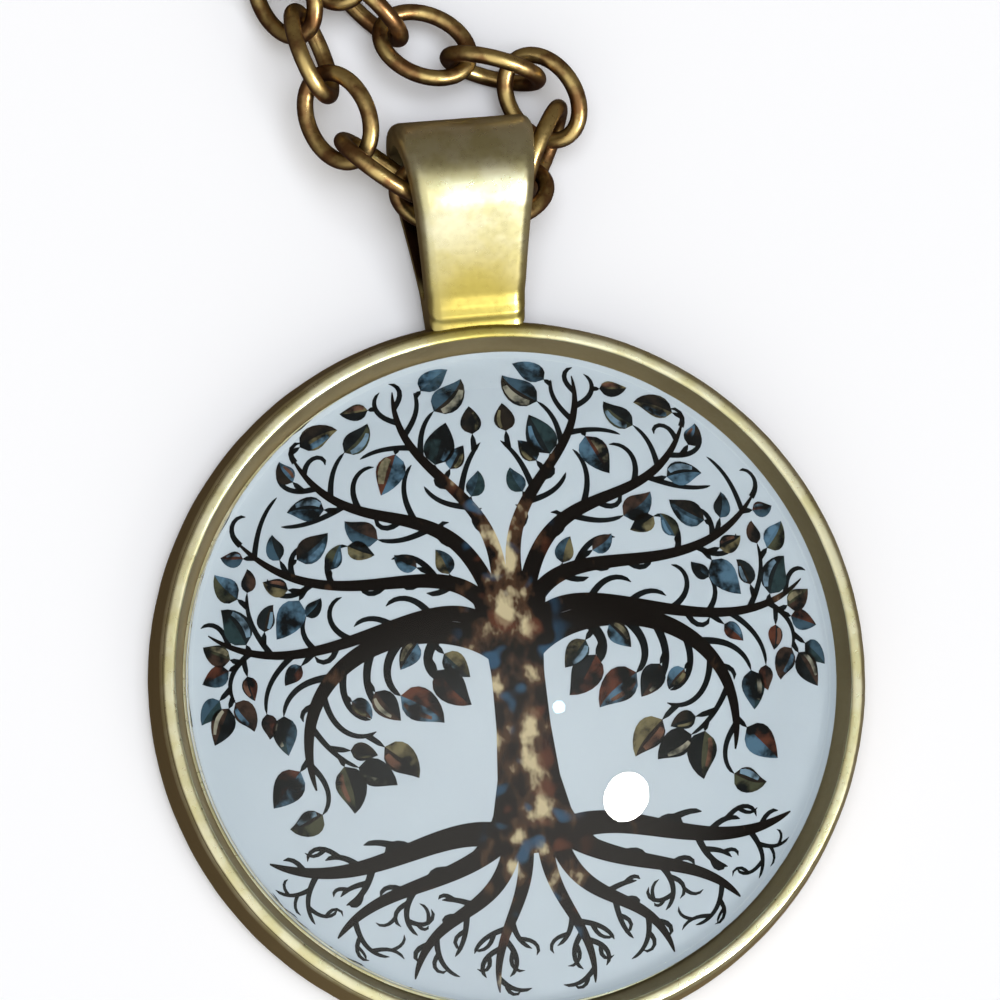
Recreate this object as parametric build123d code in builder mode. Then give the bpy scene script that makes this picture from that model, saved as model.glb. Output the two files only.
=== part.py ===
from build123d import *
from math import atan2, ceil, cos, radians, sin
import os

# A round glass-domed picture pendant with a tapered bail, lying on its back with its chain.
# Millimetres. The origin is the centre of the tray's back, +Z is out through the glass,
# +Y points to the bail, and the whole loop of chain lies on the same surface, z = 0.

# Glass dome, and the printed disc beneath it
glass_radius = 12.6
glass_clearance = 0.1
glass_girdle = 1.1
glass_rise = 4.6
girdle_round = 0.3
print_thickness = 0.2
stack_gap = 0.04

# Tray: a cast dish round the glass, with a sloped seat, a rounded rim and a drafted wall
seat_slope = 0.4
rim_width = 0.5
wall_draft = 0.4
tray_height = 2.5
tray_floor = 0.8
foot_bevel = 0.3
wall_straight = 0.7
rim_bead = 0.45
rim_ledge = 0.1

# Bail: one band bent into a teardrop, widest at the top, cast on to the tray's wall
bail_depth = 5.2
bail_reach = 7.7
bail_band = 0.85
bail_top_width = 5.7
bail_foot_width = 3.7
bail_waist = 0.12
bail_edge_round = 0.5
bail_bore_round = 0.1
root_height = 1.5
root_depth = 1.6
root_run = 0.4
root_sink = 0.6
throat_radius = 0.4
throat_web = 1.3

# Cable chain: oval links of round wire
link_length = 4.3
link_width = 3.3
link_end_radius = 1.0
link_wire = 0.65
link_clearance = 0.13

# Clasp: a closed oval of thicker wire with a small eye, held level by the links at its ends
clasp_length = 9.0
clasp_width = 4.6
clasp_wire = 1.0
eye_radius = 1.2
eye_wire = 0.65
clasp_x = -40.0
clasp_y = 185.0
clasp_heading = 12.0

# The chain's route, from the clasp's plain end round to its eye. A point of two numbers is
# a bend that the loop eases through. A point of four is a joint between two links near
# the bail, with the roll in degrees of the link that starts there: 0 lies flat, 90 stands.
chain_route = [
    (-63, 174), (-80, 154), (-88, 128), (-83, 101), (-67, 80), (-45, 64), (-25, 51), (-13.5, 41.5),
    (-8.1, 32.45, 1.65, 33),
    (-8, 30.3, 1.65, 113),
    (-6.6, 28.5, 1.9, 48),
    (-5.65, 26.1, 2.4, -62),
    (-5.15, 23.35, 3, 38),
    (-4.25, 20.75, 3.25, 113),
    (-2.25, 19.15, 2.95, 42),
    (0.45, 18.35, 2.6, -29),
    (2.65, 19.15, 2.05, -104),
    (4.05, 21.65, 1.8, -28),
    (3.15, 23.35, 1.7, -87),
    (0.45, 24.3, 1.7, 13),
    (-2, 25.65, 1.55, 92),
    (-3.85, 27.7, 1.85, -25),
    (-4.2, 29.65, 1.9, 69),
    (-3.8, 32.45, 1.8, 0),
    (-2.5, 43), (4, 57.5), (15, 79), (29, 103), (34, 128), (27, 153), (9, 174), (-14, 185),
]

# Away from the bail the links lean by turns one way and the other
lean = 45.0
lean_links = 5
floor_gap = 0.03

os.makedirs("parts", exist_ok=True)

# The tray's section is turned round Z
seat_radius = glass_radius + glass_clearance
rim_inner_radius = seat_radius + seat_slope
rim_outer_radius = rim_inner_radius + rim_width
tray_radius = rim_outer_radius + wall_draft
bead_base = tray_height - rim_bead

with BuildPart() as tray:
    with BuildSketch(Plane.XZ):
        with BuildLine():
            Polyline(
                (rim_outer_radius, bead_base),
                (rim_outer_radius + rim_ledge, bead_base - rim_ledge),
                (tray_radius, wall_straight),
                (tray_radius, foot_bevel),
                (tray_radius - foot_bevel, 0),
                (0, 0),
                (0, tray_floor),
                (seat_radius, tray_floor),
                (rim_inner_radius, bead_base),
            )
            ThreePointArc(
                (rim_inner_radius, bead_base),
                (rim_inner_radius + rim_width / 2, tray_height),
                (rim_outer_radius, bead_base),
            )
        make_face()
    revolve(axis=Axis.Z)

# The bail's side view is the hull of a large circle and a foot that sinks into the tray's
# wall, and its bore is the hull of the circle within the band and a small throat
bail_radius = bail_depth / 2
bail_top_y = tray_radius + bail_reach
bail_centre_y = bail_top_y - bail_radius
root_y = tray_radius - root_sink
throat_y = tray_radius + throat_web
throat_share = (throat_y - root_y) / (bail_centre_y - root_y)
throat_height = root_height + (bail_radius - root_height) * throat_share

with BuildPart() as bail:
    with BuildSketch(Plane.YZ):
        with Locations((bail_centre_y, bail_radius)):
            Circle(bail_radius)
        with Locations((root_y, root_height)):
            Rectangle(root_run, root_depth, align=(Align.MIN, Align.CENTER))
        make_hull()
    extrude(amount=bail_top_width, both=True)
    with BuildSketch(Plane.YZ):
        with Locations((bail_centre_y, bail_radius)):
            Circle(bail_radius - bail_band)
        with Locations((throat_y, throat_height)):
            Circle(throat_radius)
        make_hull()
    extrude(amount=bail_top_width, both=True, mode=Mode.SUBTRACT)
    with BuildSketch(Plane.XY):
        waist_x = (bail_foot_width + bail_top_width) / 4 - bail_waist
        waist_y = (root_y + bail_top_y) / 2
        with BuildLine():
            left_side = ThreePointArc(
                (-bail_foot_width / 2, root_y), (-waist_x, waist_y), (-bail_top_width / 2, bail_top_y)
            )
            right_side = ThreePointArc(
                (bail_foot_width / 2, root_y), (waist_x, waist_y), (bail_top_width / 2, bail_top_y)
            )
            Line(left_side @ 0, right_side @ 0)
            Line(left_side @ 1, right_side @ 1)
        make_face()
    extrude(amount=bail_depth, mode=Mode.INTERSECT)
    cheeks = bail.faces().filter_by(lambda face: len(face.inner_wires()) == 1)
    cheek_edges = ShapeList(edge for cheek in cheeks for edge in cheek.outer_wire().edges())
    fillet(cheek_edges.filter_by_position(Axis.Y, root_y + root_run, bail_top_y), bail_edge_round)
    bored_faces = bail.faces().filter_by(lambda face: len(face.inner_wires()) == 1)
    bore_edges = ShapeList(edge for face in bored_faces for edge in face.inner_wires()[0].edges())
    fillet(bore_edges, bail_bore_round)

with BuildPart() as setting:
    add(tray.part)
    add(bail.part)

setting.part.label = "setting"
export_step(setting.part, "parts/setting.step")

# The print lies on the tray's floor and the dome on the print, each with a film's gap
print_base = tray_floor + stack_gap
glass_base = print_base + print_thickness + stack_gap
girdle_top = glass_base + glass_girdle
glass_top = girdle_top + glass_rise
dome_radius = (glass_radius**2 + glass_rise**2) / (2 * glass_rise)

with BuildPart() as picture_disc:
    with BuildSketch(Plane.XY.offset(print_base)):
        Circle(glass_radius)
    extrude(amount=print_thickness)

picture_disc.part.label = "picture_disc"
export_step(picture_disc.part, "parts/picture_disc.step")

with BuildPart() as glass_dome:
    with BuildSketch(Plane.XZ) as dome_section:
        with BuildLine():
            RadiusArc((0, glass_top), (glass_radius, girdle_top), dome_radius)
            Polyline(
                (glass_radius, girdle_top), (glass_radius, glass_base), (0, glass_base), (0, glass_top)
            )
        make_face()
        fillet(dome_section.vertices().group_by(Axis.X)[-1], girdle_round)
    revolve(axis=Axis.Z)

glass_dome.part.label = "glass_dome"
export_step(glass_dome.part, "parts/glass_dome.step")

# One link, flat in XY with its length along X: its wire's centre line is two small arcs at the
# ends and two large ones along the sides, which meet in line
link_reach = (link_length - link_wire) / 2
link_side = (link_width - link_wire) / 2
link_hold = (link_wire + link_clearance) / 2
link_pitch = link_length - link_wire - 2 * link_hold
end_x = link_reach - link_end_radius
side_radius = (end_x**2 + link_side**2 - link_end_radius**2) / (2 * (link_side - link_end_radius))
meet_angle = atan2(side_radius - link_side, end_x)
meet_x = end_x + link_end_radius * cos(meet_angle)
meet_y = link_end_radius * sin(meet_angle)

with BuildPart() as link:
    with BuildLine() as link_line:
        upper_side = ThreePointArc((-meet_x, meet_y), (0, link_side), (meet_x, meet_y))
        lower_side = ThreePointArc((meet_x, -meet_y), (0, -link_side), (-meet_x, -meet_y))
        ThreePointArc(upper_side @ 1, (link_reach, 0), lower_side @ 0)
        ThreePointArc(lower_side @ 1, (-link_reach, 0), upper_side @ 0)
    with BuildSketch(Plane(upper_side @ 0, z_dir=upper_side % 0)):
        Circle(link_wire / 2)
    sweep(path=link_line.wires()[0])

# The clasp lies level, at the height of an upright link's middle
stand_height = link_width / 2
clasp_plane = Plane((clasp_x, clasp_y, stand_height), z_dir=(0, 0, 1)).rotated((0, 0, clasp_heading))
clasp_round = (clasp_width - clasp_wire) / 2
clasp_straight = (clasp_length - clasp_width) / 2
eye_x = clasp_straight + clasp_round + eye_radius

with BuildPart() as clasp:
    with BuildLine(clasp_plane) as clasp_line:
        front = Line((-clasp_straight, clasp_round), (clasp_straight, clasp_round))
        back = Line((clasp_straight, -clasp_round), (-clasp_straight, -clasp_round))
        ThreePointArc(front @ 1, (clasp_straight + clasp_round, 0), back @ 0)
        ThreePointArc(back @ 1, (-clasp_straight - clasp_round, 0), front @ 0)
    with BuildSketch(Plane(front @ 0, z_dir=front % 0)):
        Circle(clasp_wire / 2)
    sweep(path=clasp_line.wires()[0])
    with Locations(clasp_plane):
        with Locations((eye_x, 0)):
            Torus(eye_radius, eye_wire / 2)

clasp.part.label = "clasp"
export_step(clasp.part, "parts/clasp.step")

# Where the end links' joints stand, hooked through the clasp's plain end and through its eye
nose_hold = (clasp_wire + link_wire) / 2 + link_clearance - link_hold
nose_joint = clasp_plane.from_local_coords((nose_hold - clasp_straight - clasp_round, 0, 0))
eye_hold = (eye_wire + link_wire) / 2 + link_clearance - link_hold
eye_joint = clasp_plane.from_local_coords((eye_x + eye_radius - eye_hold, 0, 0))


def eased_joints(bends, first_stands):
    """Joints and rolls of the links along a smooth line, from the bail out to the clasp."""
    line = Spline(*bends)
    count = ceil(line.length / link_pitch)
    count += (count + first_stands) % 2

    def twist(step):
        return max(0, lean * min(1, (step + 0.5) / lean_links, (count - 0.5 - step) / lean_links))

    joints = []
    rolls = []
    for step in range(count + 1):
        spot = line @ (step / count)
        height = link_side * cos(radians(twist(step))) + link_wire / 2 + floor_gap
        joints.append(Vector(spot.X, spot.Y, height))
        stands = (step + first_stands) % 2
        rolls.append(90 * stands - twist(step + 0.5))
    return joints, rolls[:-1]


near_bail = [row for row in chain_route if len(row) == 4]
near_joints = [Vector(*row[:3]) for row in near_bail]
near_rolls = [row[3] for row in near_bail[:-1]]
first_near = chain_route.index(near_bail[0])
last_near = chain_route.index(near_bail[-1])
left_bends = [near_bail[0][:2], *reversed(chain_route[:first_near]), (nose_joint.X, nose_joint.Y)]
right_bends = [near_bail[-1][:2], *chain_route[last_near + 1 :], (eye_joint.X, eye_joint.Y)]
left_joints, left_rolls = eased_joints(left_bends, 1)
right_joints, right_rolls = eased_joints(right_bends, 0)

# From the clasp's plain end, down the left strand, through the bail and up to the eye
joints = left_joints[:0:-1] + near_joints + right_joints[1:]
rolls = [-roll for roll in reversed(left_rolls)] + near_rolls + right_rolls


def link_plane(start, end, roll):
    """The plane of the link between two joints, rolled about the line that joins them."""
    run = end - start
    level = Vector(0, 0, 1).cross(run)
    normal = run.cross(level).rotate(Axis((0, 0, 0), run), roll)
    return Plane((start + end) / 2, x_dir=run, z_dir=normal)


link_planes = [link_plane(*ends) for ends in zip(joints, joints[1:], rolls)]

with BuildPart() as chain:
    with Locations(*link_planes):
        add(link.part)

chain.part.label = "chain"
export_step(chain.part, "parts/chain.step")

chain_length = sum((end - start).length for start, end in zip(joints, joints[1:]))
print(f"{len(link_planes)} links, {chain_length + clasp_length:.1f} mm of necklace with its clasp")
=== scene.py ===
"""Tree of life pendant on its chain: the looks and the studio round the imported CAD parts.

Sizes are in millimetres in the CAD frame, and become metres where a mesh is made.
"""

import logging
import math
import random
from collections.abc import Callable
from dataclasses import dataclass, field
from enum import Enum
from functools import partial
from typing import Any

import bmesh
import bpy
import numpy as np
from mathutils import Matrix, Vector, noise

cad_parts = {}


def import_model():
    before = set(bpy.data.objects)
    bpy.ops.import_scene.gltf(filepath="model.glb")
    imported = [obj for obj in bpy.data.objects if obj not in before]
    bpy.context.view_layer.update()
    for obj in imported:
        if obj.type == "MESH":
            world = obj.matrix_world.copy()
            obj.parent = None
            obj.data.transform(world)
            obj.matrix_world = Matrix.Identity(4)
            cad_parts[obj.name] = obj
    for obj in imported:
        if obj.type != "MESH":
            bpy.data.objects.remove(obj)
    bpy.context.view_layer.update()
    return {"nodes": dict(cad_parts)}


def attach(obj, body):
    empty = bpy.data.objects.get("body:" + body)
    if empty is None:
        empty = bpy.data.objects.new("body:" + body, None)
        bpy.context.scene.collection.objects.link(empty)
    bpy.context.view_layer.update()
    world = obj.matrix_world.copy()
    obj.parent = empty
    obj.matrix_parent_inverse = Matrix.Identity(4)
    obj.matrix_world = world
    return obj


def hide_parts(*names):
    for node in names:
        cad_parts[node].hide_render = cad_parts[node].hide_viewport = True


MM = 0.001
SMOOTH = {"interpolation_type": "SMOOTHSTEP"}
COLOURS = {"data_type": "RGBA"}

Piece = bpy.types.Object
Pair = tuple[float, float]
Triple = tuple[float, float, float]
Faces = list[list[int]]
Adder = Callable[..., bpy.types.Node]

log = logging.getLogger("pendant")


def linear(colour: str) -> tuple[float, float, float, float]:
    """Turns an sRGB hex colour to linear RGBA.

    Args:
        colour: The colour as #RRGGBB.

    Returns:
        Linear red, green and blue, and an alpha of one.
    """
    steps = [int(colour[i : i + 2], 16) / 255 for i in (1, 3, 5)]
    red, green, blue = [s / 12.92 if s <= 0.04045 else ((s + 0.055) / 1.055) ** 2.4 for s in steps]
    return red, green, blue, 1.0


def per_mm(size: float) -> float:
    """The scale of a texture whose features are this many millimetres apart."""
    return 1 / (size * MM)


def add_node(
    tree: bpy.types.NodeTree, kind: str, inputs: dict[str | int, Any] | None = None, **settings: Any
) -> bpy.types.Node:
    """Adds a node with its settings and links.

    Args:
        tree: The node tree that gets the node.
        kind: The node's type name.
        inputs: For each input, by name or number, a value, another node's output, or another node,
            which gives its first working output.
        settings: The node's own properties.

    Returns:
        The new node.
    """
    node = tree.nodes.new(kind)
    for name, value in settings.items():
        setattr(node, name, value)
    for key, value in (inputs or {}).items():
        if isinstance(value, bpy.types.Node):
            value = next(socket for socket in value.outputs if socket.enabled)
        if isinstance(value, bpy.types.NodeSocket):
            tree.links.new(value, node.inputs[key])
        else:
            node.inputs[key].default_value = value
    return node


def start_material(name: str) -> tuple[bpy.types.Material, Adder]:
    """Starts a material with an empty node tree.

    Args:
        name: The material's name.

    Returns:
        The material, and add_node for its tree.
    """
    material = bpy.data.materials.new(name)
    material.use_nodes = True
    material.node_tree.nodes.clear()
    return material, partial(add_node, material.node_tree)


def finish_print(add: Adder, colour: bpy.types.Node) -> None:
    """Gives a print its matte surface, since the gloss over it is the glass's.

    Args:
        add: add_node for the material's tree.
        colour: The node that gives the print's colour.
    """
    matte = {"Base Color": colour, "Roughness": 0.7, "Specular IOR Level": 0.0}
    add("ShaderNodeOutputMaterial", {"Surface": add("ShaderNodeBsdfPrincipled", matte)})


def mesh_object(name: str, points: np.ndarray, faces: Faces) -> Piece:
    """Makes a smooth mesh object from points in millimetres.

    Args:
        name: The object's name.
        points: One row for each point.
        faces: The points of each face, in order.

    Returns:
        The object, at the origin, in the scene.
    """
    mesh = bpy.data.meshes.new(name)
    mesh.from_pydata((np.asarray(points) * MM).tolist(), [], faces)
    mesh.shade_smooth()
    piece = bpy.data.objects.new(name, mesh)
    bpy.context.scene.collection.objects.link(piece)
    return piece


def bake_modifiers(piece: Piece) -> None:
    """Turns a piece's evaluated shape to its plain mesh.

    Args:
        piece: The piece, which loses its modifiers.
    """
    graph = bpy.context.evaluated_depsgraph_get()
    mesh = bpy.data.meshes.new_from_object(piece.evaluated_get(graph))
    piece.modifiers.clear()
    piece.data = mesh
    mesh.name = piece.name


def face_outwards(piece: Piece) -> None:
    """Recalculates a closed mesh's normals so that they point out.

    Args:
        piece: The closed piece.
    """
    work = bmesh.new()
    work.from_mesh(piece.data)
    bmesh.ops.recalc_face_normals(work, faces=work.faces)
    work.to_mesh(piece.data)
    work.free()


def lathe(name: str, profile: np.ndarray, columns: int) -> Piece:
    """Turns a closed section round Z.

    Args:
        name: The object's name.
        profile: Radius and height of each point, from the axis below to the axis above.
        columns: How many steps the turn has.

    Returns:
        The closed solid, with its faces outwards.
    """
    turns = np.linspace(0, 2 * math.pi, columns, endpoint=False)
    ring = profile[1:-1]
    rows = len(ring)
    around = np.stack([np.cos(turns), np.sin(turns)], axis=1)
    heights = np.tile(ring[None, :, 1:], (columns, 1, 1))
    walls = np.concatenate([ring[None, :, :1] * around[:, None, :], heights], axis=2)
    points = np.concatenate([walls.reshape(-1, 3), [[0, 0, profile[0, 1]], [0, 0, profile[-1, 1]]]])
    low = columns * rows
    faces = []
    for column in range(columns):
        here = column * rows
        there = (column + 1) % columns * rows
        faces += [[here + k, there + k, there + k + 1, here + k + 1] for k in range(rows - 1)]
        faces.append([low, there, here])
        faces.append([low + 1, here + rows - 1, there + rows - 1])
    return mesh_object(name, points, faces)


def arc(centre: Pair, radius: float, start: float, end: float, steps: int) -> list[Pair]:
    """Points on a circle's arc.

    Args:
        centre: The circle's centre.
        radius: Its radius.
        start: The first angle in degrees.
        end: The last angle in degrees.
        steps: How many steps between them.

    Returns:
        The arc's points, both ends among them.
    """
    angles = np.radians(np.linspace(start, end, steps + 1))
    return [(centre[0] + radius * math.cos(a), centre[1] + radius * math.sin(a)) for a in angles]


def divided(points: list[Pair], step: float) -> np.ndarray:
    """Adds points to a section so that none of its steps is longer than a length.

    Args:
        points: The section's points.
        step: The longest step.

    Returns:
        The section with its new points.
    """
    result = [points[0]]
    for start, end in zip(points, points[1:]):
        way = np.array(end) - np.array(start)
        count = max(1, math.ceil(math.dist(start, end) / step))
        result += [tuple(np.array(start) + way * k / count) for k in range(1, count + 1)]
    return np.array(result)


def spaced(run: list[Pair], count: int) -> np.ndarray:
    """Spaces points evenly on a run.

    Args:
        run: The run's own points.
        count: How many points it gets.

    Returns:
        The new points, without the run's last one.
    """
    points = np.array(run)
    along = np.concatenate([[0], np.cumsum(np.linalg.norm(np.diff(points, axis=0), axis=1))])
    steps = np.linspace(0, along[-1], count, endpoint=False)
    return np.stack([np.interp(steps, along, points[:, k]) for k in range(2)], axis=1)


@dataclass(frozen=True)
class StainAndShade:
    """A patch of another colour round a place, full within its first reach, which the setting uses for
    painted shade.
    """

    colour: str
    centre: Triple
    reach: Pair


@dataclass(frozen=True)
class AntiquePlate:
    """Brass plate on cast metal or wire, darkened by a dip and wiped bright where it is rubbed.

    It gives the eye a soft yellow gloss on the tops and brown flanks, whose brown is partly painted shade.
    """

    name: str
    bright: str
    tone: str
    tarnish_and_shade: str
    roughness: Pair
    steep: Pair
    mottle: float = 1.2
    mottled: Pair = (0.35, 0.62)
    grain: float = 0.25
    grained: Pair = (0.3, 0.7)
    relief: float = 0.006
    drift: float = 0.3
    dull: float = 0.15
    stains_and_shade: tuple[StainAndShade, ...] = ()

    def material(self) -> bpy.types.Material:
        """Builds the plate's material.

        Returns:
            The material.
        """
        material, add = start_material(self.name)
        place = add("ShaderNodeTexCoord").outputs["Object"]
        # Cloudy patches of thicker and thinner plate, about a millimetre apart
        mottle = add("ShaderNodeTexNoise", {"Vector": place, "Scale": per_mm(self.mottle), "Detail": 3.0})
        # The cast skin's fine pits, drawn a little coarser than real so that they show
        grain = add("ShaderNodeTexNoise", {"Vector": place, "Scale": per_mm(self.grain), "Detail": 4.0})
        spread = {"Value": mottle, "From Min": self.mottled[0], "From Max": self.mottled[1]}
        patches = add("ShaderNodeMapRange", spread, **SMOOTH)
        tones = {"Factor": patches, 6: linear(self.tone), 7: linear(self.bright)}
        colour = add("ShaderNodeMix", tones, **COLOURS)
        # Patches of another colour round a place, full within their first reach: painted shade
        for tone_patch in self.stains_and_shade:
            away = add("ShaderNodeVectorMath", {0: place, 1: Vector(tone_patch.centre) * MM}, operation="DISTANCE")
            spread = {"Value": away, "From Min": tone_patch.reach[1] * MM, "From Max": tone_patch.reach[0] * MM}
            within = add("ShaderNodeMapRange", spread, **SMOOTH)
            colour = add("ShaderNodeMix", {"Factor": within, 6: colour, 7: linear(tone_patch.colour)}, **COLOURS)
        # Flanks, picked by how steeply they face, take the dark colour: partly the dip's patina that a wipe
        # leaves off the tops, partly painted shade
        normal = add("ShaderNodeNewGeometry").outputs["Normal"]
        facing = add("ShaderNodeSeparateXYZ", {"Vector": normal})
        level = add("ShaderNodeMath", {0: facing.outputs["Z"]}, operation="ABSOLUTE")
        uneven = add("ShaderNodeMath", {0: mottle, 1: self.drift, 2: level}, operation="MULTIPLY_ADD")
        low, high = (edge + self.drift / 2 for edge in self.steep)
        flank_patina_and_shade = add("ShaderNodeMapRange", {"Value": uneven, "From Min": high, "From Max": low}, **SMOOTH)
        colour = add("ShaderNodeMix", {"Factor": flank_patina_and_shade, 6: colour, 7: linear(self.tarnish_and_shade)}, **COLOURS)
        spread = {"Value": grain, "From Min": self.grained[0], "From Max": self.grained[1]}
        spread |= {"To Min": self.roughness[0], "To Max": self.roughness[1]}
        gloss = add("ShaderNodeMapRange", spread)
        dull = add("ShaderNodeMath", {0: flank_patina_and_shade, 1: self.dull, 2: gloss}, operation="MULTIPLY_ADD")
        bump = add("ShaderNodeBump", {"Height": grain, "Strength": 1.0, "Distance": self.relief * MM})
        metal = {"Base Color": colour, "Metallic": 1.0, "Roughness": dull, "Normal": bump}
        add("ShaderNodeOutputMaterial", {"Surface": add("ShaderNodeBsdfPrincipled", metal)})
        return material


@dataclass(frozen=True)
class PolishedGlass:
    """Clear pressed glass, fire-polished. It gives the eye a wet, lens-like gloss."""

    name: str = "pressed_glass"
    tint: str = "#FBFDFF"
    index: float = 1.5
    specular: float = 0.06
    wave: float = 6.0
    wave_height: float = 0.02
    glued: Pair = (1.12, 1.4)

    def material(self) -> bpy.types.Material:
        """Builds the glass, which lets shadow rays pass so that light reaches the print.

        Returns:
            The material.
        """
        material, add = start_material(self.name)
        place = add("ShaderNodeTexCoord").outputs["Object"]
        # Pressed glass is very slightly wavy, which breaks long reflections
        wave = add("ShaderNodeTexNoise", {"Vector": place, "Scale": per_mm(self.wave), "Detail": 1.0})
        bump = add("ShaderNodeBump", {"Height": wave, "Strength": 1.0, "Distance": self.wave_height * MM})
        lens = {
            "Base Color": linear(self.tint),
            "Roughness": 0.0,
            "IOR": self.index,
            "Specular IOR Level": self.specular,
            "Transmission Weight": 1.0,
            "Normal": bump,
        }
        glass = add("ShaderNodeBsdfPrincipled", lens)
        clear = add("ShaderNodeBsdfTransparent", {"Color": linear(self.tint)})
        # The base is stuck to the print with clear glue, so it neither mirrors nor bends light
        level = add("ShaderNodeSeparateXYZ", {"Vector": place}).outputs["Z"]
        glued = {"Value": level, "From Min": self.glued[0] * MM, "From Max": self.glued[1] * MM}
        free = add("ShaderNodeMapRange", glued)
        dome = add("ShaderNodeMixShader", {0: free, 1: clear, 2: glass})
        shadow = add("ShaderNodeLightPath").outputs["Is Shadow Ray"]
        mixed = add("ShaderNodeMixShader", {0: shadow, 1: dome, 2: clear})
        add("ShaderNodeOutputMaterial", {"Surface": mixed})
        return material


@dataclass(frozen=True)
class PrintedPaper:
    """Coated paper under the glass. It gives the eye a cool pale ground with a soft unevenness."""

    name: str = "printed_paper"
    ground: str = "#CBD3D5"
    shade: str = "#C1C8CB"
    cloud: float = 5.0

    def material(self) -> bpy.types.Material:
        """Builds the paper's material.

        Returns:
            The material.
        """
        material, add = start_material(self.name)
        place = add("ShaderNodeTexCoord").outputs["Object"]
        cloud = add("ShaderNodeTexNoise", {"Vector": place, "Scale": per_mm(self.cloud), "Detail": 2.0})
        tones = {"Factor": cloud, 6: linear(self.shade), 7: linear(self.ground)}
        finish_print(add, add("ShaderNodeMix", tones, **COLOURS))
        return material


@dataclass(frozen=True)
class FoliageInk:
    """Printing ink of the twigs and leaves. It gives the eye tints that run into black."""

    name: str = "foliage_ink"
    attribute: str = "tint"
    dark: str = "#0D1214"
    blot: float = 0.7
    wet: Pair = (0.38, 0.62)
    strength: float = 0.9

    def material(self) -> bpy.types.Material:
        """Builds the ink, which takes its tint from the mesh.

        Returns:
            The material.
        """
        material, add = start_material(self.name)
        place = add("ShaderNodeTexCoord").outputs["Object"]
        tint = add("ShaderNodeAttribute", attribute_name=self.attribute)
        blot = add("ShaderNodeTexNoise", {"Vector": place, "Scale": per_mm(self.blot), "Detail": 3.0})
        spread = {"Value": blot, "From Min": self.wet[0], "From Max": self.wet[1], "To Max": self.strength}
        wet = add("ShaderNodeMapRange", spread, **SMOOTH)
        finish_print(add, add("ShaderNodeMix", {"Factor": wet, 6: linear(self.dark), 7: tint}, **COLOURS))
        return material


@dataclass(frozen=True)
class BarkInk:
    """Printing ink of the trunk. It gives the eye dark wood with straw, rust and blue patches."""

    name: str = "bark_ink"
    woods: tuple[tuple[float, str], ...] = ((0.5, "#100D0C"), (0.6, "#4A3323"), (0.7, "#C4B28A"))
    patches: tuple[tuple[float, float, str], ...] = ((0.6, 0.72, "#5E3220"), (0.42, 0.3, "#345A74"))
    streak: float = 0.85
    stretch: Triple = (1.0, 0.65, 1.0)
    blotch: float = 1.1
    heart: float = 2.8
    heart_lift: Pair = (0.12, -0.16)
    patched: Pair = (1.0, 2.2)
    strength: float = 0.7

    def material(self) -> bpy.types.Material:
        """Builds the bark's streaks, which run up the trunk, from noise stretched along Y.

        Returns:
            The material.
        """
        material, add = start_material(self.name)
        place = add("ShaderNodeTexCoord").outputs["Object"]
        along = add("ShaderNodeMapping", {"Vector": place, "Scale": self.stretch})
        streak = add("ShaderNodeTexNoise", {"Vector": along, "Scale": per_mm(self.streak), "Detail": 3.0})
        blotch = add("ShaderNodeTexNoise", {"Vector": place, "Scale": per_mm(self.blotch), "Detail": 1.0})
        # The pale heart of the wood keeps to the middle of the trunk
        across = add("ShaderNodeSeparateXYZ", {"Vector": place}).outputs["X"]
        aside = add("ShaderNodeMath", {0: across}, operation="ABSOLUTE")
        spread = {"Value": aside, "From Min": 0.0, "From Max": self.heart * MM}
        spread |= {"To Min": self.heart_lift[0], "To Max": self.heart_lift[1]}
        heart = add("ShaderNodeMapRange", spread)
        lit = add("ShaderNodeMath", {0: streak, 1: heart}, operation="ADD")
        colour = add("ShaderNodeValToRGB", {"Fac": lit})
        colour.color_ramp.elements.new(self.woods[1][0])
        for stop, (position, wood) in zip(colour.color_ramp.elements, self.woods):
            stop.position = position
            stop.color = linear(wood)
        # Rust and blue patches keep to the trunk too
        spread = {"Value": aside, "From Min": self.patched[0] * MM, "From Max": self.patched[1] * MM}
        patch = add("ShaderNodeMapRange", spread | {"To Min": self.strength, "To Max": 0.0})
        for low, high, tint in self.patches:
            spread = {"Value": blotch, "From Min": low, "From Max": high, "To Max": patch}
            share = add("ShaderNodeMapRange", spread, **SMOOTH)
            colour = add("ShaderNodeMix", {"Factor": share, 6: colour, 7: linear(tint)}, **COLOURS)
        finish_print(add, colour)
        return material


class Slot(Enum):
    """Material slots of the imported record."""

    SETTING = "setting_metal"
    CHAIN = "chain_metal"
    GLASS = "dome_glass"
    PRINT = "print"


def declare(piece: Piece, node: str) -> None:
    """Hangs a finished piece on the root body and hides the CAD node that it replaces.

    Args:
        piece: The finished piece.
        node: The CAD node that it replaces.
    """
    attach(piece, "root")
    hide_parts(node)
    log.info("%s: %d faces", piece.name, len(piece.data.polygons))


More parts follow.
